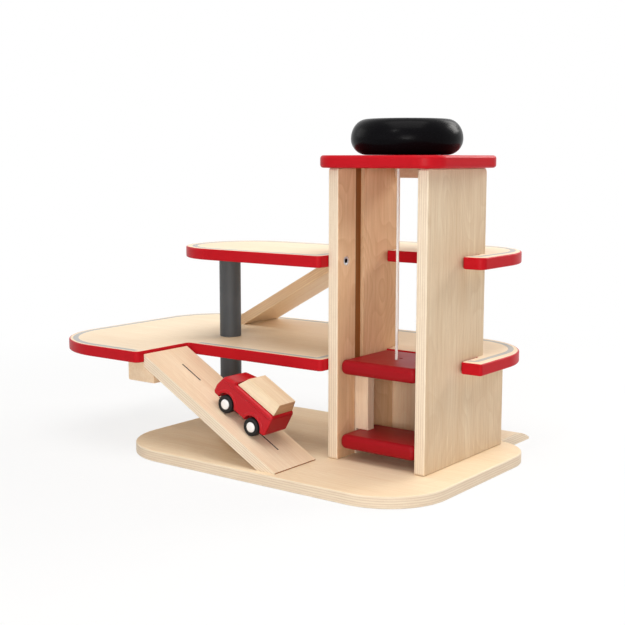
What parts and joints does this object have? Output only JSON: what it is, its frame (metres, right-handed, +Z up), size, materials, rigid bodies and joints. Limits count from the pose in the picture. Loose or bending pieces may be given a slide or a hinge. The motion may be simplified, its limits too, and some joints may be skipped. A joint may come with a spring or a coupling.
{
  "type": "toy parking garage",
  "caption": "Wooden toy parking garage with decks on posts, ramps, a knob-driven cord lift in an open tower, and a small truck on the lower ramp.",
  "frame": {"origin": "on the underside of the base board, midway between the lift tower's sides in X and at the tower's front edges in Y", "axes": "+X along the garage from the long deck towards the tower's far side, +Y from the lift's open front to the back, +Z up"},
  "size_m": [0.497, 0.3338, 0.3578],
  "materials": {
    "plywood": "satin clear lacquer on birch plywood",
    "deck_plywood": "satin clear lacquer with red painted edges and a grey lane line",
    "beech": "satin clear lacquer",
    "red_paint": "gloss red paint on wood",
    "grey_paint": "satin grey paint on wood",
    "black_paint": "gloss black paint on wood",
    "tyre_rubber": "matt black",
    "white_hub": "satin white",
    "cord": "twisted off-white cord",
    "steel": "zinc plated",
    "brass": "turned"
  },
  "bodies": {
    "garage": {"base_board": "plywood", "left_side_panel": "plywood", "right_side_panel": "plywood", "rear_wall": "plywood", "top_brace": "beech", "cap_board": "red_paint", "middle_deck": "deck_plywood", "upper_deck": "deck_plywood", "lower_post": "grey_paint", "upper_post": "grey_paint", "lower_ramp": "plywood", "upper_ramp": "plywood", "lower_ramp_block": "beech", "upper_ramp_block": "beech", "rear_ramp": "plywood", "left_front_base_screw": "steel", "left_back_base_screw": "steel", "right_front_base_screw": "steel", "right_back_base_screw": "steel", "post_base_screw": "steel", "middle_deck_left_bolt": "steel", "middle_deck_right_bolt": "steel", "upper_deck_left_bolt": "steel", "upper_deck_right_bolt": "steel", "left_front_cap_dowel": "beech", "left_back_cap_dowel": "beech", "right_front_cap_dowel": "beech", "right_back_cap_dowel": "beech", "middle_post_dowel": "beech", "upper_post_dowel": "beech", "cap_bush": "brass", "cord_lead": "cord", "lift_cord": "cord"},
    "knob": {"knob": "black_paint", "drum": "beech", "cord_winding": "cord", "spindle_washer": "steel", "spindle": "steel"},
    "lift": {"upper_platform": "red_paint", "lower_platform": "red_paint", "left_guide_post": "beech", "right_guide_post": "beech", "left_lower_guide_dowel": "beech", "left_upper_guide_dowel": "beech", "right_lower_guide_dowel": "beech", "right_upper_guide_dowel": "beech", "cord_knot": "cord"},
    "truck": {"truck_body": "red_paint", "load_block": "beech"},
    "front_wheels": {"front_axle": "steel", "front_left_hub": "white_hub", "front_right_hub": "white_hub", "front_left_tyre": "tyre_rubber", "front_right_tyre": "tyre_rubber"},
    "rear_wheels": {"rear_axle": "steel", "rear_left_hub": "white_hub", "rear_right_hub": "white_hub", "rear_left_tyre": "tyre_rubber", "rear_right_tyre": "tyre_rubber"}
  },
  "joints": [
    {"name": "knob_turn", "type": "hinge", "parent": "garage", "child": "knob", "pos_m": [0, 0.0535, 0.322], "axis": [0, 0, 1], "range_deg": [0, 700.2]},
    {"name": "lift_slide", "type": "slide", "parent": "garage", "child": "lift", "axis": [0, 0, 1], "range_m": [0, 0.1827], "deforming": ["lift_cord"]},
    {"name": "truck_roll", "type": "slide", "parent": "garage", "child": "truck", "axis": [-0.8726, 0, 0.4885], "range_m": [-0.05, 0.095]},
    {"name": "front_wheels_spin", "type": "hinge", "parent": "truck", "child": "front_wheels", "pos_m": [-0.14231, -0.0446, 0.06847], "axis": [0, 1, 0], "continuous": true},
    {"name": "rear_wheels_spin", "type": "hinge", "parent": "truck", "child": "rear_wheels", "pos_m": [-0.10828, -0.0446, 0.04942], "axis": [0, 1, 0], "continuous": true}
  ],
  "couplings": [
    {"joint": "lift_slide", "follows": "knob_turn", "m_per_rad": 0.01495},
    {"joint": "front_wheels_spin", "follows": "truck_roll", "rad_per_m": -105.26},
    {"joint": "rear_wheels_spin", "follows": "truck_roll", "rad_per_m": -105.26}
  ]
}
